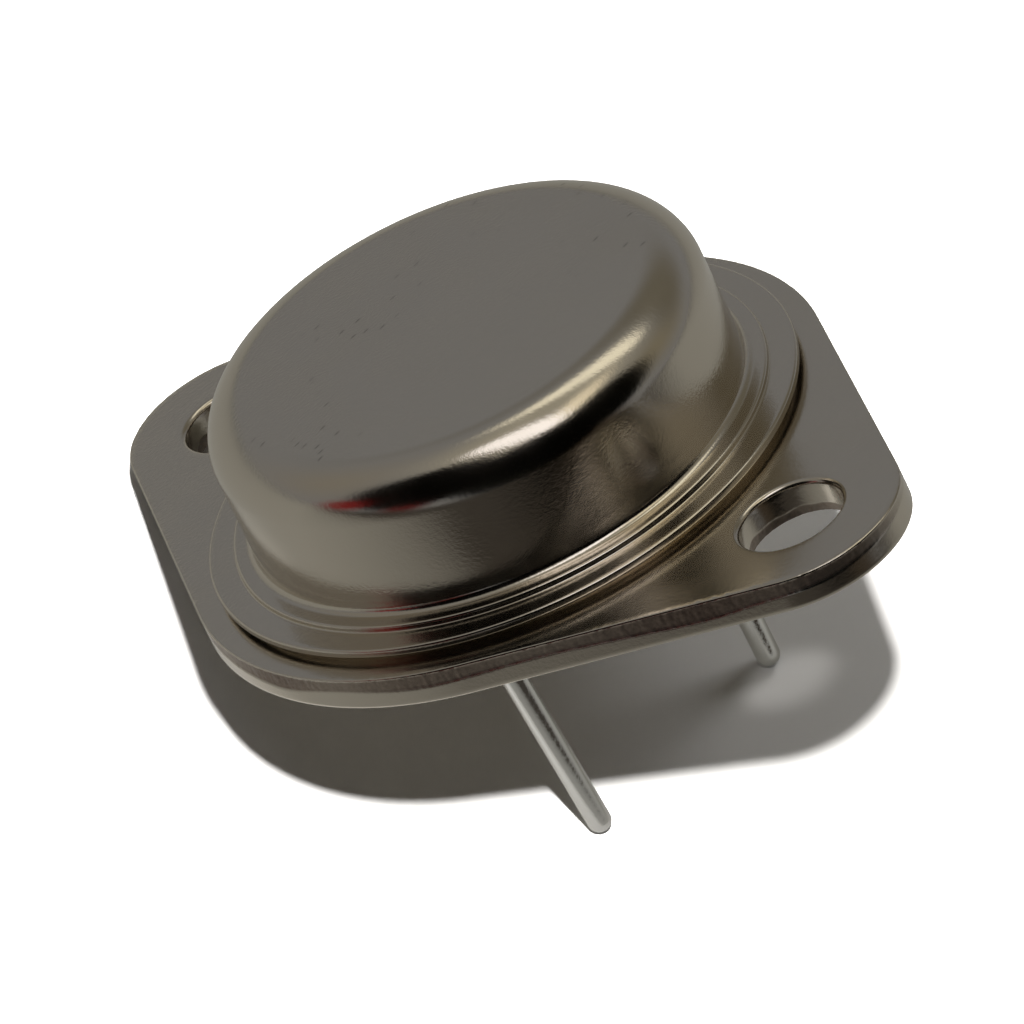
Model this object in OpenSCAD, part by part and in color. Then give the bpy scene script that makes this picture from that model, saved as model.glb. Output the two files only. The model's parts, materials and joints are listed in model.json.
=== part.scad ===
// Power transistor in a sealed metal can, with a diamond-shaped mounting flange and two rigid leads.
// The underside of the flange is the seating plane z = 0. The can stands up along +Z and the leads
// point down along -Z. X runs through both mounting holes, with the origin midway between them.

/* [Flange] */
// Distance between the centres of the two mounting holes
hole_spacing = 30.15; // [28:0.05:38]
// Width of the flange left bare around the cap's brim
flange_rim = 0.95; // [0.5:0.05:2]
// Radius of the flange's two ends
flange_end_r = 4.35; // [3.6:0.05:5.2]
// Thickness of the flange's sheet
flange_t = 1.4; // [1:0.05:2]
// Radius of the mounting holes
bolt_hole_r = 2.05; // [1.6:0.05:2.5]
// Radius of the rolled-over rim at the top of each mounting hole
hole_roll = 0.2; // [0.05:0.05:0.4]
// Radius of the rolled edge around the underside of the flange
edge_roll = 0.22; // [0.05:0.01:0.4]
// Radius of the two holes that the leads pass through
feed_hole_r = 1.6; // [1.2:0.05:2]
// Height of the ring on the flange that the cap is welded to
weld_ring_h = 0.25; // [0.1:0.05:0.5]
// Width of the weld ring
weld_ring_w = 0.6; // [0.3:0.05:0.8]
// How far the cap's brim reaches out past the weld ring
weld_overhang = 0.45; // [0.2:0.05:0.7]

/* [Cap] */
// Outer radius of the can's wall
can_r = 9.9; // [9:0.05:10.2]
// Height of the can's top above the seating plane
can_top = 8.1; // [6.5:0.05:10]
// Thickness of the can's sheet
can_t = 0.5; // [0.3:0.05:0.8]
// Outer radius of the can's rounded top edge
top_edge_r = 1.9; // [1:0.05:2.5]
// Width of the raised ring around the foot of the wall
foot_ring_w = 0.8; // [0.6:0.05:1]
// Width of the flat brim outside the raised ring
brim_w = 1.1; // [1:0.05:1.4]
// Thickness of the brim, thinned by pressing
brim_t = 0.35; // [0.25:0.05:0.5]
// Step from the flat brim up to the raised ring
brim_step = 0.25; // [0.1:0.05:0.3]
// Radius of the inside bend between the wall and the raised ring
foot_bend_r = 0.3; // [0.1:0.05:0.5]
// Radius of the small rounded edges of the brim and the ring
brim_round = 0.1; // [0.05:0.01:0.12]

/* [Leads] */
// Distance between the centres of the two leads
pin_spacing = 10.92; // [10:0.01:13]
// Distance of the line through both leads from the middle of the flange
pin_offset = 1.815; // [1:0.005:2.5]
// Diameter of a lead over its tin coat
pin_d = 0.95; // [0.7:0.01:1.2]
// Length of a lead below the seating plane
pin_length = 12.2; // [8:0.1:16]
// Diameter of the flat head on a lead's inner end
pin_head_d = 1.5; // [1.3:0.05:2]
// Thickness of that head
pin_head_t = 0.3; // [0.2:0.05:0.4]
// Angle that the base lead leans towards the emitter lead, in degrees, bent in handling
base_lean = 5; // [0:0.5:10]
// Angle that the emitter lead leans to the same side, in degrees
emitter_lean = 1; // [0:0.5:10]
// Depth below the seating plane where the tin coat and that lean start
lean_depth = 0.6; // [0.5:0.1:2]
// Thickness of the tin coat on the free length of a lead
tin_t = 0.01; // [0.005:0.005:0.03]

/* [Seals] */
// How far the glass stays back from each face of the flange
glass_recess = 0.1; // [0.05:0.01:0.2]
// Depth of the hollow in each face of the glass
glass_dish = 0.08; // [0.03:0.01:0.12]

/* [Chip] */
// Length of the copper slab under the chip, along X
spreader_len = 9; // [7:0.1:10]
// Thickness of the copper slab
spreader_t = 0.8; // [0.5:0.05:1.2]
// Gap between the copper slab and the glass seals, along Y
spreader_gap = 0.5; // [0.3:0.05:1]
// Radius of the copper slab's corners
spreader_corner_r = 0.8; // [0.3:0.1:1.5]
// Distance of the slab's centre from the middle of the flange, away from the leads
spreader_shift = 1; // [0:0.1:1.5]
// Thickness of the braze under the slab
braze_t = 0.06; // [0.04:0.01:0.1]
// Width of the square chip
die_w = 4.6; // [3:0.1:5.5]
// Thickness of the chip
die_t = 0.25; // [0.15:0.01:0.4]
// Thickness of the solder under the chip
solder_t = 0.06; // [0.04:0.01:0.1]
// How far the solder and the braze show past the piece on top of them
fillet_w = 0.15; // [0.05:0.01:0.3]

/* [Bond wires] */
// Diameter of a bond wire
wire_d = 0.38; // [0.25:0.01:0.5]
// Half the angle that a wire's arch turns through
wire_arch = 60; // [40:1:75]
// Length of the flattened foot at each end of a wire
foot_len = 1; // [0.6:0.05:1.2]
// Thickness of that foot
foot_t = 0.22; // [0.2:0.01:0.3]
// Distance of each bond pad from the chip's edge
pad_inset = 0.9; // [0.7:0.05:1.2]

/* [Hidden] */
$fn = 96;

steel_plate = [0.42, 0.40, 0.38];
cap_plate = [0.45, 0.43, 0.40];
lead_plate = [0.75, 0.75, 0.73];
glass_colour = [0.16, 0.22, 0.20];
copper_colour = [0.72, 0.43, 0.29];
braze_colour = [0.80, 0.75, 0.55];
solder_colour = [0.60, 0.60, 0.62];
silicon_colour = [0.25, 0.25, 0.30];
wire_colour = [0.85, 0.85, 0.86];

// The cap, from the flange up and from the wall out
brim_under = flange_t + weld_ring_h;
brim_top = brim_under + brim_t;
ring_top = brim_top + brim_step;
ring_r = can_r + foot_ring_w;
brim_r = ring_r + brim_w;
weld_ring_outer = brim_r - weld_overhang;

// Each straight side of the flange touches its middle circle and an end circle at this angle from X
flange_mid_r = brim_r + flange_rim;
hole_x = hole_spacing / 2;
side_angle = acos((flange_mid_r - flange_end_r) / hole_x);
side_len = hole_x * sin(side_angle);

// The stack under the chip, from the flange up
spreader_z = flange_t + braze_t;
solder_z = spreader_z + spreader_t;
die_z = solder_z + solder_t;
die_top = die_z + die_t;
spreader_w = pin_spacing - 2 * feed_hole_r - 2 * spreader_gap;

// The heads of the leads stand level with the top of the chip
pin_y = pin_spacing / 2;
pin_r = pin_d / 2;
pin_core_r = pin_r - tin_t;
head_top = die_top;

// A bond wire runs from its pad on the chip to the middle of a lead's head
pad_x = -spreader_shift + die_w / 2 - pad_inset;
pad_y = die_w / 2 - pad_inset;
foot_w = 1.5 * wire_d;

module flange_outline() {
    mid_touch = flange_mid_r * [cos(side_angle), sin(side_angle)];
    end_touch = [hole_x, 0] + flange_end_r * [cos(side_angle), sin(side_angle)];
    circle(flange_mid_r);
    for (side = [-1, 1]) translate([side * hole_x, 0]) circle(flange_end_r);
    polygon([mid_touch, end_touch, [end_touch[0], -end_touch[1]], [mid_touch[0], -mid_touch[1]],
             -mid_touch, -end_touch, [-end_touch[0], end_touch[1]], [-mid_touch[0], mid_touch[1]]]);
}

// What rounding takes off a corner whose tip is at [0, 0], with the material to its left and below
module corner_cut(r) {
    translate([-r, -r]) difference() {
        square(r);
        circle(r);
    }
}

module roll_profile() {
    mirror([0, 1]) corner_cut(edge_roll);
}

module roll_arc(radius, from, to) {
    rotate([0, 0, from]) rotate_extrude(angle = to - from) translate([radius, 0]) roll_profile();
}

// Cuts the rounded lower edge along the two middle arcs, the two end arcs and the four straight sides
module underside_roll() {
    for (turn = [0, 180]) rotate([0, 0, turn]) {
        roll_arc(flange_mid_r, side_angle, 180 - side_angle);
        translate([hole_x, 0]) roll_arc(flange_end_r, -side_angle, side_angle);
        for (side = [0, 1]) mirror([0, side, 0]) rotate([0, 0, side_angle]) translate([flange_mid_r, 0])
            rotate([90, 0, 0]) linear_extrude(side_len) roll_profile();
    }
}

module mounting_hole() {
    translate([0, 0, -1]) cylinder(h = flange_t + 2, r = bolt_hole_r);
    translate([0, 0, flange_t]) rotate_extrude() translate([bolt_hole_r, 0]) mirror([1, 0])
        corner_cut(hole_roll);
}

module header_flange() {
    color(steel_plate) {
        difference() {
            linear_extrude(flange_t) flange_outline();
            underside_roll();
            for (side = [-1, 1]) translate([side * hole_x, 0, 0]) mounting_hole();
            for (side = [-1, 1]) translate([pin_offset, side * pin_y, -1])
                cylinder(h = flange_t + 2, r = feed_hole_r);
        }
        translate([0, 0, flange_t]) linear_extrude(weld_ring_h) difference() {
            circle(weld_ring_outer);
            circle(weld_ring_outer - weld_ring_w);
        }
    }
}

module cap_section() {
    inner_r = can_r - can_t;
    // Top sheet, rounded shoulder and wall
    translate([0, can_top - can_t]) square([can_r - top_edge_r, can_t]);
    translate([can_r - top_edge_r, can_top - top_edge_r]) intersection() {
        square(top_edge_r);
        difference() {
            circle(top_edge_r);
            circle(top_edge_r - can_t);
        }
    }
    translate([inner_r, ring_top - brim_t]) square([can_t, can_top - top_edge_r - ring_top + brim_t]);
    // Raised ring, with the bend between it and the wall
    difference() {
        translate([inner_r, ring_top - brim_t]) square([ring_r - inner_r, brim_t]);
        translate([ring_r, ring_top]) corner_cut(brim_round);
    }
    translate([can_r, ring_top]) rotate(180) corner_cut(foot_bend_r);
    // Flat brim, one step lower, with its rounded rim
    difference() {
        translate([ring_r - brim_t, brim_under]) square([brim_w + brim_t, brim_t]);
        translate([brim_r, brim_top]) corner_cut(brim_round);
        translate([brim_r, brim_under]) mirror([0, 1]) corner_cut(brim_round);
    }
}

module cap() {
    color(cap_plate) rotate_extrude() cap_section();
}

// A lead with its flat head inside the can. Its free length is coated with tin, and may lean towards +Y
module lead(lean) {
    straight = pin_length - lean_depth - pin_r;
    translate([0, 0, -lean_depth]) cylinder(h = head_top - pin_head_t + lean_depth, r = pin_core_r);
    translate([0, 0, head_top - pin_head_t]) cylinder(h = pin_head_t, r = pin_head_d / 2);
    translate([0, 0, -lean_depth]) {
        sphere(pin_r);
        rotate([lean, 0, 0]) translate([0, 0, -straight]) {
            cylinder(h = straight, r = pin_r);
            sphere(pin_r);
        }
    }
}

module base_pin() {
    color(lead_plate) translate([pin_offset, -pin_y, 0]) lead(base_lean);
}

module emitter_pin() {
    color(lead_plate) translate([pin_offset, pin_y, 0]) lead(emitter_lean);
}

// A glass bead that fills a feed-through hole around its lead, dished at both faces
module glass_seal(side) {
    ring_w = feed_hole_r - pin_core_r;
    ring_mid = pin_core_r + ring_w / 2;
    dish_r = (pow(ring_w / 2, 2) + pow(glass_dish, 2)) / (2 * glass_dish);
    color(glass_colour) translate([pin_offset, side * pin_y, 0]) rotate_extrude() difference() {
        translate([pin_core_r, glass_recess]) square([ring_w, flange_t - 2 * glass_recess]);
        translate([ring_mid, glass_recess + glass_dish - dish_r]) circle(dish_r);
        translate([ring_mid, flange_t - glass_recess - glass_dish + dish_r]) circle(dish_r);
    }
}

module base_seal() {
    glass_seal(-1);
}

module emitter_seal() {
    glass_seal(1);
}

module rounded_slab(x, y, h, r) {
    linear_extrude(h) {
        square([x - 2 * r, y], center = true);
        square([x, y - 2 * r], center = true);
        for (i = [-1, 1], j = [-1, 1]) translate([i * (x / 2 - r), j * (y / 2 - r)]) circle(r);
    }
}

module heat_spreader() {
    color(copper_colour) translate([-spreader_shift, 0, spreader_z])
        rounded_slab(spreader_len, spreader_w, spreader_t, spreader_corner_r);
}

module spreader_braze() {
    color(braze_colour) translate([-spreader_shift, 0, flange_t])
        rounded_slab(spreader_len + 2 * fillet_w, spreader_w + 2 * fillet_w, braze_t,
                     spreader_corner_r + fillet_w);
}

module silicon_die() {
    color(silicon_colour) translate([-spreader_shift, 0, die_z]) linear_extrude(die_t)
        square(die_w, center = true);
}

module die_solder() {
    color(solder_colour) translate([-spreader_shift, 0, solder_z])
        rounded_slab(die_w + 2 * fillet_w, die_w + 2 * fillet_w, solder_t, fillet_w);
}

// An arched wire with a flattened foot at each end, from a pad on the chip to the head of a lead
module bond_wire(side) {
    from = [pad_x, side * pad_y];
    to = [pin_offset, side * pin_y];
    span = norm(to - from);
    heading = atan2(to[1] - from[1], to[0] - from[0]);
    arch_r = span / (2 * sin(wire_arch));
    color(wire_colour) translate([from[0], from[1], die_top]) rotate([0, 0, heading]) {
        for (x = [0, span]) translate([x, 0, foot_t / 2])
            cube([foot_len, foot_w, foot_t], center = true);
        translate([span / 2, 0, foot_t - arch_r * cos(wire_arch)]) rotate([90, 0, 0])
            rotate([0, 0, 90 - wire_arch]) rotate_extrude(angle = 2 * wire_arch)
                translate([arch_r, 0]) circle(wire_d / 2);
    }
}

module base_wire() {
    bond_wire(-1);
}

module emitter_wire() {
    bond_wire(1);
}

header_flange();
cap();
base_pin();
emitter_pin();
base_seal();
emitter_seal();
heat_spreader();
spreader_braze();
silicon_die();
die_solder();
base_wire();
emitter_wire();
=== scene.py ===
# %% [markdown]
# # A power transistor in a steel can
#
# The real part is a stamped steel flange with a drawn steel can welded on top and two stiff leads
# that come out of the underside through beads of glass. Everything outside is plated: satin nickel
# on the flange and the can, bright tin on the leads. We load the measured parts as a fixed frame,
# and build a finer skin for each one that shows.

import json
import math

import bmesh
import bpy
from mathutils import Matrix, Vector, noise


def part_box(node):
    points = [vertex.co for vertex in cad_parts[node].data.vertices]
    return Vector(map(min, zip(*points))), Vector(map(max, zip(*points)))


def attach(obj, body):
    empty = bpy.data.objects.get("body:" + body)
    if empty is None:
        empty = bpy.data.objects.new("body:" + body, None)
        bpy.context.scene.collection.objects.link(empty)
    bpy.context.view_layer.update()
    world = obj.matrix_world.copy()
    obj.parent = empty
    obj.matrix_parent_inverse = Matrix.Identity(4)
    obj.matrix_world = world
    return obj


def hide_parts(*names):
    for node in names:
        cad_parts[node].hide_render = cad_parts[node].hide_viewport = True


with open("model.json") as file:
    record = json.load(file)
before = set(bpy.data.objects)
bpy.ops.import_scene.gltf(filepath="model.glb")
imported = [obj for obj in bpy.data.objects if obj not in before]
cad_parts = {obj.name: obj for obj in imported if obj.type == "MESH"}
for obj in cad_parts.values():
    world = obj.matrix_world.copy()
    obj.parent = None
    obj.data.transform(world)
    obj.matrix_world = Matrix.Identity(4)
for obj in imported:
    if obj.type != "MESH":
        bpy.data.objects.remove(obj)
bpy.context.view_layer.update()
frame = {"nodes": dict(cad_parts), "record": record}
print("nodes in the frame:", sorted(frame["nodes"]))

# %% [markdown]
# ## Sizes
#
# Sizes that matter are read from the frame and from its list of mounts, so the skin always fits.
# Blender works in metres, and a transistor is small, so we keep every size in millimetres and
# divide by a thousand only when a mesh or a node is made.

# %% Sizes in millimetres
MM = 0.001


def size_of(node):
    """Lowest and highest corner of a CAD node, in millimetres."""
    low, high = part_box(node)
    return low / MM, high / MM


mounts = {mount["name"]: mount for mount in frame["record"]["mounts"]}
flange_high = size_of("header_flange")[1]
cap_low, cap_high = size_of("cap")
seal_low, seal_high = size_of("base_seal")

HOLE_X = mounts["bolt_holes"]["dims"]["spacing_x_mm"] / 2
HOLE_R = mounts["bolt_holes"]["dims"]["hole_r_mm"]
MIDDLE_R = flange_high.y
END_R = flange_high.x - HOLE_X
FEED_R = (seal_high.x - seal_low.x) / 2
LEAD_R = mounts["base_lead"]["dims"]["r_mm"]
BRIM_R = cap_high.x
CAN_TOP = cap_high.z
WELD_TOP = flange_high.z
# The frame doesn't list these four, so they repeat the measured part's own values.
FLANGE_T = 1.4
WELD_OUTER_R = 11.35
WELD_INNER_R = 10.75
TIN_T = 0.01
print(f"flange {2 * flange_high.x:.2f} x {2 * MIDDLE_R:.2f} mm, holes {2 * HOLE_X:.2f} mm apart")
print(f"can top at {CAN_TOP:.2f} mm, brim radius {BRIM_R:.2f} mm, lead radius {LEAD_R:.3f} mm")

# %% [markdown]
# ## The camera
#
# A long lens from about 62 cm away: close work on a table, with the far side of the part hardly
# smaller than the near side. The camera goes in first, because everything is judged through it.

# %% Camera
CAMERA_PLACE = Vector((447.867, -303.684, 304.997))
CAMERA_RIGHT = Vector((0.68185, 0.62485, -0.3803)).normalized()
CAMERA_BACK = Vector((0.7213, -0.4879, 0.4916)).normalized()
CAMERA_UP = CAMERA_BACK.cross(CAMERA_RIGHT).normalized()
LENS = 588.2

camera_data = bpy.data.cameras.new("camera")
camera_data.lens = LENS
camera_data.sensor_width = 36
camera_data.clip_start = 0.05
camera_data.clip_end = 10
camera = bpy.data.objects.new("camera", camera_data)
bpy.context.scene.collection.objects.link(camera)
turned = Matrix((CAMERA_BACK.cross(CAMERA_UP) * -1, CAMERA_UP, CAMERA_BACK)).transposed()
camera.matrix_world = Matrix.Translation(CAMERA_PLACE * MM) @ turned.to_4x4()
bpy.context.scene.camera = camera
print("camera distance in mm:", round(CAMERA_PLACE.length, 1))

# %% [markdown]
# ## The table it leans on
#
# The part doesn't lie flat: it leans on one end of its flange and on the tips of both leads, as it
# does when it is dropped on a table. We keep the part straight, as its maker measures it, and tilt
# the table instead. Bisection finds the tilt at which the flange and the leads touch it together.

# %% Tilt of the table
def lowest(node, normal):
    """How far down a CAD node reaches along a normal, in millimetres."""
    mesh = frame["nodes"][node].data
    return min(vertex.co.dot(normal) for vertex in mesh.vertices) / MM


def tilted(angle):
    """The table's normal when it is turned by an angle about the Y axis."""
    return Vector((math.sin(angle), 0, math.cos(angle)))


flat, steep = math.radians(5), math.radians(60)
for _ in range(40):
    middle = (flat + steep) / 2
    normal = tilted(middle)
    leads_low = min(lowest("base_pin", normal), lowest("emitter_pin", normal))
    if lowest("header_flange", normal) > leads_low:
        flat = middle
    else:
        steep = middle
TABLE_UP = tilted(flat)
TABLE_LEVEL = lowest("header_flange", TABLE_UP)
print(f"the table is tilted by {math.degrees(flat):.2f} degrees, {TABLE_LEVEL:.2f} mm from the origin")

# %% [markdown]
# Directions in the room are easier to think about from the table: azimuth 0 points at the camera,
# 90 to the right of the picture, and elevation is measured up from the table.

# %% Directions in the room
toward = (CAMERA_BACK - CAMERA_BACK.dot(TABLE_UP) * TABLE_UP).normalized()
sideways = TABLE_UP.cross(toward).normalized()
if sideways.dot(CAMERA_RIGHT) < 0:
    sideways = -sideways


def room_direction(azimuth, elevation):
    """The unit vector that points to an azimuth and elevation in the room, in degrees."""
    a, e = math.radians(azimuth), math.radians(elevation)
    flat_part = math.cos(a) * toward + math.sin(a) * sideways
    return (math.cos(e) * flat_part + math.sin(e) * TABLE_UP).normalized()


print("camera elevation over the table:", round(math.degrees(math.asin(CAMERA_BACK.dot(TABLE_UP))), 1))

# %% [markdown]
# ## Colours and nodes
#
# Colours are written as sRGB hex, the way a paint chart or a colour picker gives them. A shader
# works with linear light, so one function converts them. A second small function adds a node, sets
# its settings, and fills or links its inputs.

# %% Colour and node helpers
def colour(code):
    """Linear RGBA of an sRGB hex colour."""
    parts = [int(code[i:i + 2], 16) / 255 for i in (1, 3, 5)]
    return (*[p / 12.92 if p <= 0.04045 else ((p + 0.055) / 1.055) ** 2.4 for p in parts], 1)


def add(tree, kind, inputs=None, **settings):
    """Adds one node. inputs maps a socket's name or number to a value, or to an output to link."""
    node = tree.nodes.new(kind)
    for name, value in settings.items():
        setattr(node, name, value)
    for socket, value in (inputs or {}).items():
        if isinstance(value, bpy.types.NodeSocket):
            tree.links.new(value, node.inputs[socket])
        else:
            node.inputs[socket].default_value = value
    return node


def per_mm(size):
    """The texture scale at which a pattern's features are this many millimetres across."""
    return 1 / (size * MM)


print("nickel grey in linear light:", [round(c, 3) for c in colour("#D4CBBD")[:3]])

# %% [markdown]
# ## The room that the metal mirrors
#
# Nickel has no colour of its own: what we see on it is the room. So the room is the first thing to
# get right. It could be an image, but soft patches of light on a plain background are easier to
# move. Each patch turns the direction into its own frame, and a spherical gradient fades it out.
# The camera itself sees plain white; only reflections see the patches. Later patches cover earlier
# ones, so the dark ones come last and cut the lights off at their edges. Matt surfaces get only
# about a quarter of the room's light, because the lamps below give them the rest.

# %% World
world = bpy.data.worlds.new("room")
world.use_nodes = True
bpy.context.scene.world = world
room = world.node_tree
room.nodes.clear()
direction = add(room, "ShaderNodeTexCoord").outputs["Generated"]

# How far a patch reaches along its own direction, so that its middle is never cut off.
PATCH_DEPTH = 1.6
# azimuth, elevation, half width, half height in degrees, edge softness, colour, strength
PATCHES = [
    ("table glow", 180, -40, 89, 45, 1.0, "#A4A8A8", 1.0),
    ("left wall", -100, 25, 50, 40, 1.0, "#86827A", 1.0),
    ("right wall", 110, 30, 45, 40, 1.0, "#827C6C", 1.0),
    ("far wall", 165, 27, 65, 22, 0.7, "#69655A", 1.0),
    ("ceiling", 0, 90, 60, 60, 0.6, "#A39F92", 1.0),
    ("rear window", 180, 56, 32, 11, 0.45, "#FFFAE6", 1.15),
    ("warm lamp", 88, 75, 26, 14, 0.8, "#FFF4D8", 1.05),
    ("overhead light", -20, 80, 28, 13, 0.40, "#FFFCFF", 1.55),
    ("brown front right", 48, 4, 36, 20, 0.5, "#3E362C", 1.0),
    ("black right", 74, 38, 27, 34, 0.3, "#030302", 1.0),
    ("black front left", -36, 32, 38, 36, 0.22, "#030302", 1.0),
    ("black front right", 24, 30, 46, 41, 0.22, "#030302", 1.0),
    ("red cloth left", -62, 6, 15, 13, 0.8, "#7A1210", 1.0),
    ("red cloth front", -28, 2, 15, 9, 0.8, "#551210", 1.0),
]


def patch_frame(azimuth, elevation):
    """Rotation whose X axis points at the patch, Y along its width and Z up its height."""
    ahead = room_direction(azimuth, elevation)
    across = room_direction(azimuth + 90, 0)
    return Matrix((ahead, across, ahead.cross(across))).transposed()


seen = add(room, "ShaderNodeRGB").outputs[0]
seen.default_value = colour("#7F8082")
for name, azimuth, elevation, width, height, softness, code, strength in PATCHES:
    turn = patch_frame(azimuth, elevation)
    placed = add(room, "ShaderNodeMapping", {
        "Vector": direction,
        "Location": turn.col[0],
        "Rotation": turn.to_euler(),
        "Scale": (PATCH_DEPTH, math.sin(math.radians(width)), math.sin(math.radians(height))),
    }, vector_type="TEXTURE", label=name)
    fade = add(room, "ShaderNodeTexGradient", {"Vector": placed.outputs[0]}, gradient_type="SPHERICAL")
    amount = add(room, "ShaderNodeMapRange", {
        "Value": fade.outputs["Fac"], "From Min": 0.0, "From Max": softness,
    }, interpolation_type="SMOOTHSTEP")
    shade = [c * strength for c in colour(code)[:3]]
    seen = add(room, "ShaderNodeMix", {
        0: amount.outputs[0], 6: seen, 7: (*shade, 1),
    }, data_type="RGBA", clamp_factor=True).outputs[2]

path = add(room, "ShaderNodeLightPath")
fill = add(room, "ShaderNodeMapRange", {
    "Value": path.outputs["Is Diffuse Ray"], "To Min": 1.0, "To Max": 0.27,
})
mirrored = add(room, "ShaderNodeBackground", {"Color": seen, "Strength": fill.outputs[0]})
paper = add(room, "ShaderNodeBackground", {"Color": (1, 1, 1, 1), "Strength": 1.0})
chosen = add(room, "ShaderNodeMixShader", {
    0: path.outputs["Is Camera Ray"], 1: mirrored.outputs[0], 2: paper.outputs[0],
})
add(room, "ShaderNodeOutputWorld", {"Surface": chosen.outputs[0]})
print("patches in the room:", len(PATCHES))

# %% [markdown]
# ## The lamps and the table
#
# There are two copies of the table: one that the camera sees, and one that only the metal mirrors.
# One lamp setup can't give both their right tones, so light linking ties each lamp to one copy. On
# the table we see, a small strong lamp burns the paper to white around a crisp shadow, and a wide
# lamp from behind lifts the shadow's far end. A wide lamp overhead lights the mirrored copy. No
# lamp is seen in the metal, because the room above already holds their reflection.

# %% Lamps
def soft_lamp(name, azimuth, elevation, size, power):
    """A round lamp that lights the table but isn't mirrored in the metal."""
    way = room_direction(azimuth, elevation)
    data = bpy.data.lights.new(name, "AREA")
    data.shape = "DISK"
    data.size = size
    data.energy = power
    data.color = (1.0, 0.98, 0.95)
    made = bpy.data.objects.new(name, data)
    bpy.context.scene.collection.objects.link(made)
    made.location = way * LAMP_DISTANCE
    made.rotation_mode = "QUATERNION"
    made.rotation_quaternion = way.to_track_quat("Z", "Y")
    made.visible_glossy = False
    made.visible_camera = False
    return made


LAMP_DISTANCE = 0.6
wide_lamp = soft_lamp("wide_lamp", 5, 66, 0.40, 1.3)
rear_lamp = soft_lamp("rear_lamp", 154, 42, 0.25, 0.60)
strong_lamp = soft_lamp("strong_lamp", 1.6, 68.5, 0.035, 9.0)
print("lamps:", wide_lamp.name, rear_lamp.name, strong_lamp.name)

# %% [markdown]
# The mirrored sheet darkens towards the camera. It also has a painted patch of light beside the
# leads. The strong lamp doesn't reach this copy, so the patch is given more than full white on
# purpose: that stands in for the brightly lit paper that bright leads mirror.

# %% Table
TABLE_HALF = 0.4
FADE_START = 0.005
FADE_END = 0.075
LIT_RADIUS = 0.014


def table_sheet(name, drop):
    """A square of the table's plane, facing up, a little below the part's lowest point."""
    mesh = bpy.data.meshes.new(name)
    middle = TABLE_UP * (TABLE_LEVEL - drop) * MM
    corners = [(-1, -1), (1, -1), (1, 1), (-1, 1)]
    points = [middle + (x * toward + y * sideways) * TABLE_HALF for x, y in corners]
    mesh.from_pydata(points, [], [(0, 1, 2, 3)])
    if mesh.polygons[0].normal.dot(TABLE_UP) < 0:
        mesh.flip_normals()
    made = bpy.data.objects.new(name, mesh)
    bpy.context.scene.collection.objects.link(made)
    made.visible_shadow = False
    return made


def paper(name, sheet_colour_of):
    """Paper that can only be seen from above. The argument gives its colour, from its node tree."""
    material = bpy.data.materials.new(name)
    material.use_nodes = True
    tree = material.node_tree
    tree.nodes.clear()
    sheet = add(tree, "ShaderNodeBsdfDiffuse", {"Color": sheet_colour_of(tree)})
    gone = add(tree, "ShaderNodeBsdfTransparent")
    side = add(tree, "ShaderNodeNewGeometry")
    surface = add(tree, "ShaderNodeMixShader", {
        0: side.outputs["Backfacing"], 1: sheet.outputs[0], 2: gone.outputs[0],
    })
    add(tree, "ShaderNodeOutputMaterial", {"Surface": surface.outputs[0]})
    return material


def fading_paper_with_painted_light(tree):
    """Paper that darkens towards the camera, with a painted patch of light beside the leads."""
    place = add(tree, "ShaderNodeTexCoord").outputs["Object"]
    nearness = add(tree, "ShaderNodeVectorMath", {
        0: place, 1: room_direction(15, 0),
    }, operation="DOT_PRODUCT")
    fading = add(tree, "ShaderNodeMapRange", {
        "Value": nearness.outputs["Value"], "From Min": FADE_START, "From Max": FADE_END,
    })
    sheet = add(tree, "ShaderNodeMix", {
        0: fading.outputs[0], 6: (0.75, 0.76, 0.73, 1), 7: (0.10, 0.09, 0.08, 1),
    }, data_type="RGBA")
    # Painted light: a round patch beside the leads gets more than full white, for brightly lit paper.
    spot = toward * 0.004 - sideways * 0.004 + TABLE_UP * TABLE_LEVEL * MM
    around = add(tree, "ShaderNodeMapping", {
        "Vector": place, "Location": spot, "Scale": (LIT_RADIUS, LIT_RADIUS, LIT_RADIUS),
    }, vector_type="TEXTURE")
    near = add(tree, "ShaderNodeTexGradient", {"Vector": around.outputs[0]}, gradient_type="SPHERICAL")
    lit = add(tree, "ShaderNodeMapRange", {"Value": near.outputs["Fac"], "From Max": 0.5})
    return add(tree, "ShaderNodeMix", {
        0: lit.outputs[0], 6: sheet.outputs[2], 7: (1.6, 1.62, 1.6, 1),
    }, data_type="RGBA").outputs[2]


table = table_sheet("table", 0.0)
table.visible_glossy = False
table.visible_diffuse = False
table.data.materials.append(paper("white_paper", lambda tree: (0.95, 0.95, 0.95, 1)))
mirrored_table = table_sheet("mirrored_table", 0.01)
mirrored_table.visible_camera = False
mirrored_table.data.materials.append(paper("mirrored_paper", fading_paper_with_painted_light))

for sheet, lamps in ((table, (strong_lamp, rear_lamp)), (mirrored_table, (wide_lamp,))):
    lit = bpy.data.collections.new("lit_" + sheet.name)
    lit.objects.link(sheet)
    for lamp in lamps:
        lamp.light_linking.receiver_collection = lit

# %% [markdown]
# Without help the strong lamp would print a hard white spot through each mounting hole. A token of
# dark film in the hole, met only by shadow rays, leaves the faint spot that is wanted.

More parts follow.
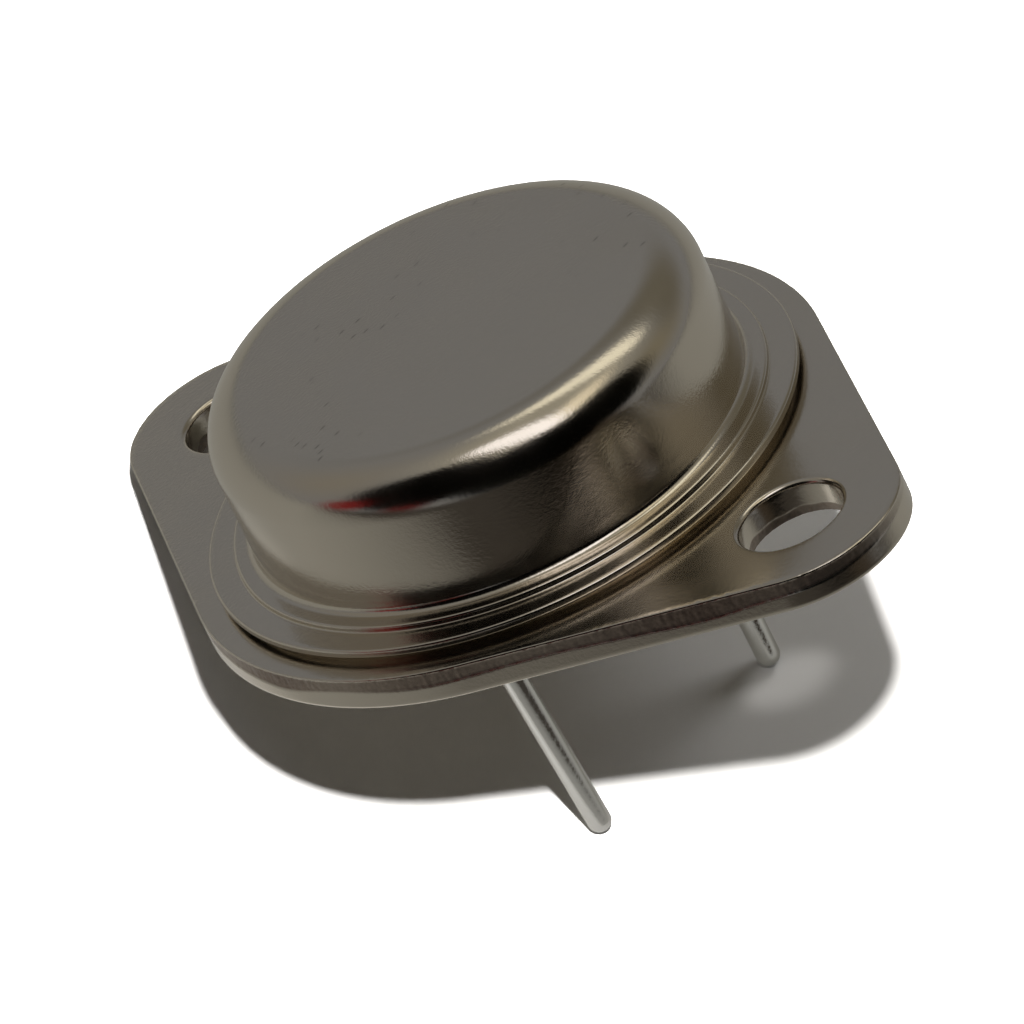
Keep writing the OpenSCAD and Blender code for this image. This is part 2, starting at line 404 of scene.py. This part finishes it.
# %% Tokens in the mounting holes
token_paper = bpy.data.materials.new("dark_film")
token_paper.use_nodes = True
token_paper.node_tree.nodes.clear()
thin = add(token_paper.node_tree, "ShaderNodeBsdfTransparent", {"Color": (0.06, 0.06, 0.06, 1)})
add(token_paper.node_tree, "ShaderNodeOutputMaterial", {"Surface": thin.outputs[0]})
for name, x in (("token_left", -HOLE_X), ("token_right", HOLE_X)):
    bm = bmesh.new()
    bmesh.ops.create_circle(bm, cap_ends=True, segments=48, radius=HOLE_R * MM,
                            matrix=Matrix.Translation((x * MM, 0, FLANGE_T / 2 * MM)))
    mesh = bpy.data.meshes.new(name)
    bm.to_mesh(mesh)
    bm.free()
    mesh.materials.append(token_paper)
    token = bpy.data.objects.new(name, mesh)
    bpy.context.scene.collection.objects.link(token)
    for ray in ("camera", "glossy", "diffuse", "transmission"):
        setattr(token, "visible_" + ray, False)
print("table normal:", [round(c, 3) for c in table.data.polygons[0].normal])

# %% [markdown]
# ## Mesh helpers
#
# Almost every surface here is a profile carried round a closed line: round an axis for the can, and
# round the flange's own outline for its edge. So one function joins a stack of rings into faces,
# and a second one turns a profile of radius and height into such rings.

# %% Rings and turned shapes
def wave(x, y, z=0.0):
    """Smooth noise from -1 to 1, the same every run."""
    return noise.noise(Vector((x, y, z)))


def join_rings(bm, rings):
    """Adds rings of points in millimetres, all the same length, and the faces between them."""
    rows = [[bm.verts.new(Vector(point) * MM) for point in ring] for ring in rings]
    count = len(rows[0])
    for lower, upper in zip(rows, rows[1:]):
        for i in range(count):
            j = (i + 1) % count
            bm.faces.new((lower[i], lower[j], upper[j], upper[i]))
    return rows


def arc(centre, radius, start, end, steps):
    """Points on an arc of a profile, from one angle to another in degrees."""
    angles = [math.radians(start + (end - start) * i / steps) for i in range(steps + 1)]
    return [(centre[0] + radius * math.cos(a), centre[1] + radius * math.sin(a)) for a in angles]


def straight(start, end, steps):
    """Points on a straight stretch of a profile, without its first point."""
    return [tuple(s + (e - s) * i / steps for s, e in zip(start, end)) for i in range(1, steps + 1)]


def finish_piece(name, bm, material, nodes, sharp=35):
    """Turns a bmesh into a piece that rides on the frame and stands for some CAD nodes."""
    bmesh.ops.remove_doubles(bm, verts=bm.verts, dist=1e-8)
    bmesh.ops.recalc_face_normals(bm, faces=bm.faces)
    mesh = bpy.data.meshes.new(name)
    bm.to_mesh(mesh)
    bm.free()
    for polygon in mesh.polygons:
        polygon.use_smooth = True
    mesh.set_sharp_from_angle(angle=math.radians(sharp))
    piece = bpy.data.objects.new(name, mesh)
    bpy.context.scene.collection.objects.link(piece)
    mesh.materials.append(material)
    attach(piece, "root")
    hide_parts(*nodes)
    print(name, len(mesh.polygons), "faces")
    return piece


# %% [markdown]
# ## Nickel plate
#
# The flange and the can are steel with a satin nickel plate. Nickel is a warm grey metal, a little
# yellow beside chrome. The plate follows the pressed steel, which leaves an orange peel of shallow
# dimples, so mirrored edges look crumbled. The real grain is a few micrometres across, too fine to
# draw, so the peel is drawn at 0.15 mm and the grain at 0.07 mm. Where the flange was cut, the
# steel tore instead of shearing: there it is rough, dark and brown. The flat top of the can has
# short nicks that all run one way. A stretched Voronoi pattern scatters them.

# %% Nickel plate
def nickel_plate(name, peel_depth, grain_depth, roughest, smoothest):
    """Satin nickel over steel. Depths are in micrometres."""
    material = bpy.data.materials.new(name)
    material.use_nodes = True
    tree = material.node_tree
    shader = tree.nodes["Principled BSDF"]
    place = add(tree, "ShaderNodeTexCoord").outputs["Object"]
    torn = add(tree, "ShaderNodeAttribute", attribute_name="torn").outputs["Fac"]

    cloud = add(tree, "ShaderNodeTexNoise", {"Vector": place, "Scale": per_mm(5.0), "Detail": 4.0})
    plate = add(tree, "ShaderNodeMix", {
        0: cloud.outputs["Fac"], 6: colour("#D6CEC1"), 7: colour("#D0C8BB"),
    }, data_type="RGBA")
    streak = add(tree, "ShaderNodeTexNoise", {"Vector": place, "Scale": per_mm(0.12), "Detail": 3.0})
    tear_colour = add(tree, "ShaderNodeMix", {
        0: streak.outputs["Fac"], 6: colour("#3A2A24"), 7: colour("#A08C80"),
    }, data_type="RGBA")
    skin = add(tree, "ShaderNodeMix", {
        0: torn, 6: plate.outputs[2], 7: tear_colour.outputs[2],
    }, data_type="RGBA")

    stretched = add(tree, "ShaderNodeMapping", {"Vector": place, "Scale": (2.2, 0.32, 1.0)})
    scattered = add(tree, "ShaderNodeTexVoronoi", {
        "Vector": stretched.outputs[0], "Scale": per_mm(1.1),
    }, voronoi_dimensions="2D")
    nick = add(tree, "ShaderNodeMapRange", {
        "Value": scattered.outputs["Distance"], "From Min": 0.035, "From Max": 0.055,
        "To Min": 1.0, "To Max": 0.0,
    })
    handled = add(tree, "ShaderNodeMapRange", {
        "Value": cloud.outputs["Fac"], "From Min": 0.50, "From Max": 0.57,
    })
    height = add(tree, "ShaderNodeSeparateXYZ", {0: place})
    on_top = add(tree, "ShaderNodeMath", {
        0: height.outputs["Z"], 1: (CAN_TOP - 0.1) * MM,
    }, operation="GREATER_THAN")
    handled_top = add(tree, "ShaderNodeMath", {
        0: on_top.outputs[0], 1: handled.outputs[0],
    }, operation="MULTIPLY")
    nicked = add(tree, "ShaderNodeMath", {
        0: nick.outputs[0], 1: handled_top.outputs[0],
    }, operation="MULTIPLY")
    marked = add(tree, "ShaderNodeMix", {
        0: nicked.outputs[0], 6: skin.outputs[2], 7: colour("#7A726A"),
    }, data_type="RGBA")
    tree.links.new(marked.outputs[2], shader.inputs["Base Color"])

    smear = add(tree, "ShaderNodeTexNoise", {"Vector": place, "Scale": per_mm(2.2), "Detail": 5.0})
    sheen = add(tree, "ShaderNodeMapRange", {
        "Value": smear.outputs["Fac"], "From Min": 0.35, "From Max": 0.65,
        "To Min": smoothest, "To Max": roughest,
    })
    rough = add(tree, "ShaderNodeMix", {0: torn, 2: sheen.outputs[0], 3: 0.5})
    tree.links.new(rough.outputs[0], shader.inputs["Roughness"])

    peel = add(tree, "ShaderNodeTexNoise", {"Vector": place, "Scale": per_mm(0.15), "Detail": 2.0})
    first = add(tree, "ShaderNodeBump", {
        "Height": peel.outputs["Fac"], "Distance": peel_depth * 1e-6, "Strength": 1.0,
    })
    grain = add(tree, "ShaderNodeTexNoise", {"Vector": place, "Scale": per_mm(0.07), "Detail": 2.0})
    second = add(tree, "ShaderNodeBump", {
        "Height": grain.outputs["Fac"], "Distance": grain_depth * 1e-6, "Strength": 1.0,
        "Normal": first.outputs[0],
    })
    tree.links.new(second.outputs[0], shader.inputs["Normal"])
    shader.inputs["Metallic"].default_value = 1.0
    return material


can_nickel = nickel_plate("satin_nickel_on_can", 3.8, 2.0, 0.19, 0.13)
flange_nickel = nickel_plate("satin_nickel_on_flange", 3.6, 1.5, 0.21, 0.15)
print("materials:", can_nickel.name, flange_nickel.name)

# %% [markdown]
# ## The can
#
# The can was drawn from one disc of steel: flat top, rounded shoulder, straight wall, a small bend
# at the foot and a brim pressed thin in two steps for the weld. A turned profile gives all of it.
# Drawing also leaves the wall very slightly wavy, which is what makes its mirror image wander.

# %% Can
CAN_R = 9.9
SHOULDER_R = 1.9
SHEET_T = 0.5
RING_R = 10.7
RING_TOP = 2.25
BRIM_TOP = 2.0
BRIM_UNDER = cap_low.z
BRIM_SHEET_T = 0.35
FOOT_R = 0.3
EDGE_R = 0.1
STEP_R = 0.06
SEGMENTS = 480

shoulder_in = CAN_R - SHOULDER_R
shoulder_z = CAN_TOP - SHOULDER_R
inner_r = CAN_R - SHEET_T
can_profile = [(0.0, CAN_TOP)]
can_profile += straight((0.0, CAN_TOP), (shoulder_in, CAN_TOP), 20)
can_profile += arc((shoulder_in, shoulder_z), SHOULDER_R, 90, 0, 40)[1:]
can_profile += straight((CAN_R, shoulder_z), (CAN_R, RING_TOP + FOOT_R), 26)
can_profile += arc((CAN_R + FOOT_R, RING_TOP + FOOT_R), FOOT_R, 180, 270, 10)[1:]
can_profile += straight((CAN_R + FOOT_R, RING_TOP), (RING_R - EDGE_R, RING_TOP), 4)
can_profile += arc((RING_R - EDGE_R, RING_TOP - EDGE_R), EDGE_R, 90, 0, 6)[1:]
can_profile += arc((RING_R + STEP_R, BRIM_TOP + STEP_R), STEP_R, 180, 270, 5)
can_profile += straight((RING_R + STEP_R, BRIM_TOP), (BRIM_R - EDGE_R, BRIM_TOP), 6)
can_profile += arc((BRIM_R - EDGE_R, BRIM_TOP - EDGE_R), EDGE_R, 90, 0, 6)[1:]
can_profile += arc((BRIM_R - EDGE_R, BRIM_UNDER + EDGE_R), EDGE_R, 0, -90, 6)
outside_points = len(can_profile)
step_r = RING_R - BRIM_SHEET_T
step_z = RING_TOP - BRIM_SHEET_T
can_profile += [(step_r, BRIM_UNDER), (step_r, step_z), (inner_r, step_z), (inner_r, shoulder_z)]
can_profile += arc((shoulder_in, shoulder_z), SHOULDER_R - SHEET_T, 0, 90, 12)[1:]
can_profile += [(0.0, CAN_TOP - SHEET_T)]


def can_ring(radius, z, outside):
    """One ring of the can, with the waviness that drawing leaves on the outside."""
    ring = []
    for i in range(SEGMENTS):
        a = 2 * math.pi * i / SEGMENTS
        r = max(radius, 0.02)
        x, y = r * math.cos(a), r * math.sin(a)
        if outside and z < CAN_TOP - 0.02:
            r -= 0.006 * (1 + wave(x * 0.35, y * 0.35, z * 0.25)) * min(1, (CAN_TOP - z) / 0.6)
            x, y = r * math.cos(a), r * math.sin(a)
        ring.append((x, y, z))
    return ring


bm = bmesh.new()
rings = [can_ring(r, z, k < outside_points) for k, (r, z) in enumerate(can_profile)]
rows = join_rings(bm, rings)
bm.faces.new(rows[0])
bm.faces.new(rows[-1])
can = finish_piece("can", bm, can_nickel, ["cap"])

# %% [markdown]
# ## The flange's outline
#
# Seen from above the flange is a diamond with round corners: a big circle round the can, a small
# circle round each mounting hole, and straight sides that touch both. Because the sides are
# tangents, the outline has a smooth direction everywhere, and a point can be moved straight in
# along its normal. That lets one profile run round the whole edge.

# %% Outline
side_turn = math.acos((MIDDLE_R - END_R) / HOLE_X)
side_length = HOLE_X * math.sin(side_turn)
OUTLINE_STEP = 0.05


def outline_piece(kind, start, end=None, centre=(0, 0), radius=0):
    """Points and outward directions on one arc or straight side of the outline."""
    if kind == "arc":
        count = max(2, round(radius * abs(end - start) / OUTLINE_STEP))
        turns = [start + (end - start) * i / count for i in range(count)]
        ways = [(math.cos(t), math.sin(t)) for t in turns]
        return [((centre[0] + radius * c, centre[1] + radius * s), (c, s)) for c, s in ways]
    count = round(side_length / OUTLINE_STEP)
    (x0, y0), (x1, y1) = start, end
    way = ((y1 - y0) / side_length, -(x1 - x0) / side_length)
    return [((x0 + (x1 - x0) * i / count, y0 + (y1 - y0) * i / count), way) for i in range(count)]


def touch(side, turn, middle):
    """Where a straight side meets the middle arc or an end arc."""
    radius = MIDDLE_R if middle else END_R
    x = 0 if middle else side * HOLE_X
    return (x + radius * math.cos(turn), radius * math.sin(turn))


t = side_turn
outline = outline_piece("arc", -t, t, (HOLE_X, 0), END_R)
outline += outline_piece("side", touch(1, t, False), touch(1, t, True))
outline += outline_piece("arc", t, math.pi - t, (0, 0), MIDDLE_R)
outline += outline_piece("side", touch(-1, math.pi - t, True), touch(-1, math.pi - t, False))
outline += outline_piece("arc", math.pi - t, math.pi + t, (-HOLE_X, 0), END_R)
outline += outline_piece("side", touch(-1, math.pi + t, False), touch(-1, math.pi + t, True))
outline += outline_piece("arc", math.pi + t, 2 * math.pi - t, (0, 0), MIDDLE_R)
outline += outline_piece("side", touch(1, -t, True), touch(1, -t, False))
print("outline points:", len(outline), "sides turned by", round(math.degrees(side_turn), 2), "degrees")

# %% [markdown]
# ## The flange's cut edge
#
# A punch leaves three bands on a cut edge: a rounded entry, a smooth burnished band, and a torn
# band where the steel broke. On this flange the entry is underneath, so the torn band is at the
# top. The tear is deepest along the side towards the camera and fades out round the ends. It is
# modelled, not painted: each point of the band is pushed in by its own tear mark.

# %% Flange edge
ROLL_R = 0.22
TOP_ROUND = 0.07
BAND_RINGS = 16
BAND_LOW = 0.42


def tear_at(x, y):
    """How far down the torn band reaches, and how strong it is, at a place on the outline."""
    near = max(0.0, min(1.0, (x * 0.35 - y * 0.8 - 4.5) / 4.0))
    patchy = 0.5 + 0.5 * wave(x * 0.23 + 3.1, y * 0.23, 0.7)
    strength = min(1.0, 0.25 + 0.75 * near) * (0.55 + 0.45 * patchy)
    return 0.2 + 0.55 * strength * (0.75 + 0.5 * patchy), strength


edge_rings = []
torn_values = []


def edge_ring(inset, z, worn=0.0):
    """One ring round the flange, moved in from the outline, and lower where the edge is worn."""
    edge_rings.append([
        (x - nx * inset, y - ny * inset, z - worn * max(0.0, wave(x * 3.3, y * 3.3, 2.0)))
        for (x, y), (nx, ny) in outline
    ])
    torn_values.append([0.0] * len(outline))


edge_ring(0.8, FLANGE_T)
edge_ring(0.3, FLANGE_T)
for step, (inset, drop) in enumerate(reversed(arc((TOP_ROUND, TOP_ROUND), TOP_ROUND, 180, 270, 5))):
    edge_ring(inset, FLANGE_T - drop, worn=0.01 * step)
band_top = FLANGE_T - TOP_ROUND
for step in range(1, BAND_RINGS + 1):
    ring, marks = [], []
    for (x, y), (nx, ny) in outline:
        depth, strength = tear_at(x, y)
        z = band_top - (band_top - BAND_LOW) * step / BAND_RINGS
        inside = max(0.0, min(1.0, (z - (band_top - depth)) / 0.08))
        mark = 0.5 + 0.5 * wave(x * 5.5, y * 5.5, z * 1.4)
        fine = 0.5 + 0.5 * wave(x * 13.0 + 7, y * 13.0, z * 6.0)
        push = inside * strength * (0.012 + 0.05 * mark + 0.02 * fine)
        ring.append((x - nx * push, y - ny * push, z))
        marks.append(inside * strength)
    edge_rings.append(ring)
    torn_values.append(marks)
edge_ring(0.0, 0.36)
edge_ring(0.0, 0.3)
for i in range(9):
    a = math.pi / 2 * i / 8
    edge_ring(ROLL_R - ROLL_R * math.cos(a), ROLL_R - ROLL_R * math.sin(a))
edge_ring(0.5, 0.0)
edge_ring(0.8, 0.0)
print("rings round the edge:", len(edge_rings))

# %% [markdown]
# The holes get the same treatment turned inside out. The mounting holes were punched from above:
# a rolled-over rim at the top, a mirror-smooth wall, and a rough breakout at the bottom.

# %% Holes, weld ring and faces
HOLE_ROLL = 0.2
BREAKOUT = 0.5


def hole_rings(centre, profile, count, rough_below=None):
    """Rings round a hole, from a profile of radius and height."""
    rings, marks = [], []
    for radius, z in profile:
        ring, row = [], []
        for i in range(count):
            a = 2 * math.pi * i / count
            r, mark = radius, 0.0
            if rough_below is not None and z < rough_below:
                limit = rough_below * (0.75 + 0.35 * wave(math.cos(a) * 2.2, math.sin(a) * 2.2, centre[0]))
                mark = max(0.0, min(1.0, (limit - z) / 0.06))
                crumble = 0.5 + 0.5 * wave(math.cos(a) * 14, math.sin(a) * 14, z * 4 + centre[0])
                r += mark * (0.01 + 0.05 * crumble) * (0.4 + 0.6 * (limit - z) / rough_below)
            ring.append((centre[0] + r * math.cos(a), centre[1] + r * math.sin(a), z))
            row.append(mark * 0.7)
        rings.append(ring)
        marks.append(row)
    return rings, marks


def round_profile(radius, height, roll, z_low):
    """Profile of a rolled-over rim and the wall under it."""
    rim = arc((radius + roll, height - roll), roll, 90, 180, 8)
    return [(radius + roll + 0.25, height)] + rim + straight((radius, height - roll), (radius, z_low), 4)


bm = bmesh.new()
torn_layer = bm.verts.layers.float.new("torn")


def add_rings(rings, marks):
    """Adds rings with their torn values, and returns the first and last row of vertices."""
    rows = join_rings(bm, rings)
    for row, values in zip(rows, marks):
        for vertex, value in zip(row, values):
            vertex[torn_layer] = value
    return rows[0], rows[-1]


top_loops, bottom_loops = [], []
first, last = add_rings(edge_rings, torn_values)
top_loops.append(first)
bottom_loops.append(last)
for x in (-HOLE_X, HOLE_X):
    profile = round_profile(HOLE_R, FLANGE_T, HOLE_ROLL, BREAKOUT + 0.05)
    profile += straight((HOLE_R, BREAKOUT + 0.05), (HOLE_R, 0.0), 12)
    profile += [(HOLE_R + 0.1, 0.0), (HOLE_R + 0.35, 0.0)]
    first, last = add_rings(*hole_rings((x, 0), profile, 320, BREAKOUT))
    top_loops.append(first)
    bottom_loops.append(last)
lead_x = mounts["base_lead"]["pos_m"][0] / MM
for node in ("base_seal", "emitter_seal"):
    low, high = size_of(node)
    y = (low.y + high.y) / 2
    profile = [(FEED_R + 0.2, FLANGE_T), (FEED_R + 0.05, FLANGE_T), (FEED_R, FLANGE_T - 0.05)]
    profile += [(FEED_R, 0.05)] + arc((FEED_R + 0.05, 0.05), 0.05, 180, 270, 4)[1:] + [(FEED_R + 0.2, 0.0)]
    first, last = add_rings(*hole_rings((lead_x, y), profile, 128))
    top_loops.append(first)
    bottom_loops.append(last)
ring_profile = [(WELD_INNER_R - 0.1, FLANGE_T), (WELD_INNER_R, FLANGE_T), (WELD_INNER_R, WELD_TOP),
                (WELD_OUTER_R, WELD_TOP), (WELD_OUTER_R, FLANGE_T + 0.04)]
ring_profile += arc((WELD_OUTER_R + 0.04, FLANGE_T + 0.04), 0.04, 180, 270, 4)[1:]
ring_profile += [(WELD_OUTER_R + 0.2, FLANGE_T)]
first, last = add_rings(*hole_rings((0, 0), ring_profile, 360))
top_loops.append(first)
weld_outside = last


def loop_edges(loops):
    """The edges of closed rows of vertices."""
    found = []
    for row in loops:
        for i, vertex in enumerate(row):
            found.append(bm.edges.get((vertex, row[(i + 1) % len(row)])))
    return found


print("top loops", len(top_loops), "bottom loops", len(bottom_loops))
outer_top = [top_loops[0], top_loops[1], top_loops[2], weld_outside]
inner_top = [top_loops[5], top_loops[3], top_loops[4]]
bmesh.ops.triangle_fill(bm, use_beauty=True, edges=loop_edges(outer_top))
bmesh.ops.triangle_fill(bm, use_beauty=True, edges=loop_edges(inner_top))
bmesh.ops.triangle_fill(bm, use_beauty=True, edges=loop_edges(bottom_loops))
flange = finish_piece("flange", bm, flange_nickel, ["header_flange"])

# %% [markdown]
# ## Bright tin
#
# The leads are an iron-nickel wire that glass can grip, dipped in bright tin. Tin is a white metal,
# and the dipped coat is nearly a mirror. A fine ripple breaks up the dark line that it mirrors.

# %% Tin
bright_tin = bpy.data.materials.new("bright_tin")
bright_tin.use_nodes = True
tree = bright_tin.node_tree
shader = tree.nodes["Principled BSDF"]
place = add(tree, "ShaderNodeTexCoord").outputs["Object"]
cloud = add(tree, "ShaderNodeTexNoise", {"Vector": place, "Scale": per_mm(0.8), "Detail": 4.0})
tin = add(tree, "ShaderNodeMix", {
    0: cloud.outputs["Fac"], 6: colour("#F4F3F1"), 7: colour("#E8E7E4"),
}, data_type="RGBA")
tree.links.new(tin.outputs[2], shader.inputs["Base Color"])
sheen = add(tree, "ShaderNodeMapRange", {
    "Value": cloud.outputs["Fac"], "From Min": 0.35, "From Max": 0.7, "To Min": 0.05, "To Max": 0.10,
})
tree.links.new(sheen.outputs[0], shader.inputs["Roughness"])
along_wire = add(tree, "ShaderNodeMapping", {"Vector": place, "Scale": (1.0, 1.0, 0.4)})
ripple = add(tree, "ShaderNodeTexNoise", {
    "Vector": along_wire.outputs[0], "Scale": per_mm(0.12), "Detail": 3.0,
})
bump = add(tree, "ShaderNodeBump", {"Height": ripple.outputs["Fac"], "Distance": 4e-6, "Strength": 1.0})
tree.links.new(bump.outputs[0], shader.inputs["Normal"])
shader.inputs["Metallic"].default_value = 1.0
print("tin:", bright_tin.name)

# %% [markdown]
# ## The leads
#
# Each lead is a stiff wire with a flat head inside the can and a rounded tip. Both lean a little,
# one more than the other. A turned profile follows each wire's own leaning centre line.

# %% Leads
LEAN_START = -0.6
HEAD_T = 0.3


def lead(name, node, mount_name):
    """A lead from its flat head to its rounded tip, built along its own leaning line."""
    mount = mounts[mount_name]
    way = Vector(mount["axis"]).normalized()
    low, high = size_of(node)
    place = Vector(mount["pos_m"]) / MM
    tip_z = low.z
    elbow = place - way * ((place.z - LEAN_START) / way.z)
    tip_centre = elbow + way * ((tip_z + LEAD_R - LEAN_START) / way.z)
    core_r = LEAD_R - TIN_T
    reach = (tip_centre - elbow).length
    rings = []
    sides = 72

    def ring(centre, axis, radius, along):
        right = Vector((1, 0, 0))
        front = axis.cross(right).normalized()
        row = []
        for i in range(sides):
            a = 2 * math.pi * i / sides
            r = radius * (1 - 0.004 * (1 + wave(math.cos(a) * 1.3, math.sin(a) * 1.3, along * 0.7)))
            row.append(centre + (right * math.cos(a) + front * math.sin(a)) * r)
        rings.append(row)

    down = Vector((0, 0, -1))
    head_r, head_top = (high.x - low.x) / 2, high.z
    for r, z in ([(0.02, head_top), (head_r - 0.05, head_top)]
                 + arc((head_r - 0.05, head_top - 0.05), 0.05, 90, 0, 4)
                 + [(head_r, head_top - HEAD_T), (LEAD_R + 0.04, head_top - HEAD_T)]
                 + [(core_r, head_top - HEAD_T - 0.06)]
                 + straight((core_r, head_top - HEAD_T - 0.06), (core_r, -0.3), 8)):
        ring(Vector((elbow.x, elbow.y, z)), down, r, z)
    for i in range(7):
        share = i / 6
        axis = (down * (1 - share) + way * share).normalized()
        centre = elbow - down * 0.15 * (1 - share) ** 2 + way * 0.15 * share ** 2
        ring(centre, axis, LEAD_R - TIN_T * (1 - share), centre.z)
    for i in range(1, 61):
        centre = elbow + way * (0.15 + (reach - 0.15) * i / 60)
        ring(centre, way, LEAD_R, centre.z)
    for i in range(1, 12):
        a = math.pi / 2 * i / 12
        ring(tip_centre + way * LEAD_R * math.sin(a), way, LEAD_R * math.cos(a), tip_z - i * 0.03)
    bm = bmesh.new()
    rows = join_rings(bm, rings)
    bm.faces.new(rows[0])
    bm.faces.new(rows[-1])
    return finish_piece(name, bm, bright_tin, [node])


base_lead = lead("base_lead", "base_pin", "base_lead")
emitter_lead = lead("emitter_lead", "emitter_pin", "emitter_lead")

# %% [markdown]
# ## Seals and the parts inside
#
# A bead of dark glass holds each lead and seals the can. It was melted in place, so it climbs a
# little up the lead and the hole's wall. Inside the sealed can the measured parts stay as they
# are: the copper slab, the chip, its solder and the two bond wires, each with its own finish.

# %% Glass
seal_glass = bpy.data.materials.new("fused_seal_glass")
seal_glass.use_nodes = True
tree = seal_glass.node_tree
shader = tree.nodes["Principled BSDF"]
place = add(tree, "ShaderNodeTexCoord").outputs["Object"]
bubbles = add(tree, "ShaderNodeTexNoise", {"Vector": place, "Scale": per_mm(0.25), "Detail": 4.0})
glass_colour = add(tree, "ShaderNodeMix", {
    0: bubbles.outputs["Fac"], 6: colour("#16211D"), 7: colour("#33443C"),
}, data_type="RGBA")
tree.links.new(glass_colour.outputs[2], shader.inputs["Base Color"])
shader.inputs["Roughness"].default_value = 0.08
shader.inputs["IOR"].default_value = 1.52


def seal(name, node):
    """A ring of glass between a lead and its hole, hollow at both faces."""
    low, high = size_of(node)
    x, y = (low.x + high.x) / 2, (low.y + high.y) / 2
    inner, outer = LEAD_R - TIN_T, FEED_R
    rings = []
    steps = 20

    def ring(radius, z):
        turns = [2 * math.pi * i / 96 for i in range(96)]
        rings.append([(x + radius * math.cos(a), y + radius * math.sin(a), z) for a in turns])

    def hollow(share):
        return 0.1 * (1 - (2 * share - 1) ** 6) * (0.8 + 0.2 * math.sin(3 * share))

    for i in range(steps + 1):
        share = i / steps
        ring(inner + (outer - inner) * share, high.z - hollow(share))
    for i in range(steps, -1, -1):
        share = i / steps
        ring(inner + (outer - inner) * share, low.z + hollow(share))
    rings.append(list(rings[0]))
    bm = bmesh.new()
    join_rings(bm, rings)
    return finish_piece(name, bm, seal_glass, [node])


base_glass = seal("base_glass", "base_seal")
emitter_glass = seal("emitter_glass", "emitter_seal")

# %% [markdown]
# Inside the can every finish is a metal or mirrors like one, so one recipe with a few values each
# is enough. The colours and the grain tell them apart.

# %% Finishes inside the can
# finish, light colour, dark colour, roughness, size of the grain in millimetres
INSIDE = {
    "heat_spreader": ("oxygen_free_copper", "#D99A78", "#B8785A", 0.32, 0.5),
    "spreader_braze": ("silver_braze", "#E6DDBE", "#C9BC94", 0.38, 0.3),
    "silicon_die": ("polished_silicon", "#5A5E6E", "#4A4D5A", 0.12, 0.8),
    "die_solder": ("soft_solder", "#B9B9BC", "#98989C", 0.45, 0.25),
    "base_wire": ("drawn_aluminium", "#E3E3E4", "#CFCFD2", 0.25, 0.1),
    "emitter_wire": ("drawn_aluminium", "#E3E3E4", "#CFCFD2", 0.25, 0.1),
}
for node, (name, light, dark, roughness, grain_mm) in INSIDE.items():
    material = bpy.data.materials.get(name)
    if material is None:
        material = bpy.data.materials.new(name)
        material.use_nodes = True
        tree = material.node_tree
        shader = tree.nodes["Principled BSDF"]
        place = add(tree, "ShaderNodeTexCoord").outputs["Object"]
        grain = add(tree, "ShaderNodeTexNoise", {
            "Vector": place, "Scale": per_mm(grain_mm), "Detail": 4.0,
        })
        tone = add(tree, "ShaderNodeMix", {
            0: grain.outputs["Fac"], 6: colour(light), 7: colour(dark),
        }, data_type="RGBA")
        tree.links.new(tone.outputs[2], shader.inputs["Base Color"])
        dull = add(tree, "ShaderNodeMapRange", {
            "Value": grain.outputs["Fac"], "To Min": roughness * 0.8, "To Max": roughness * 1.2,
        })
        tree.links.new(dull.outputs[0], shader.inputs["Roughness"])
        bump = add(tree, "ShaderNodeBump", {
            "Height": grain.outputs["Fac"], "Distance": 4e-6, "Strength": 1.0,
        })
        tree.links.new(bump.outputs[0], shader.inputs["Normal"])
        shader.inputs["Metallic"].default_value = 1.0
    mesh = frame["nodes"][node].data
    mesh.materials.clear()
    mesh.materials.append(material)
print("finishes inside:", sorted({row[0] for row in INSIDE.values()}))

# %% [markdown]
#
# The plain view transform keeps white paper white.

# %% Exposure
bpy.context.scene.view_settings.view_transform = "Standard"
bpy.context.scene.view_settings.look = "None"
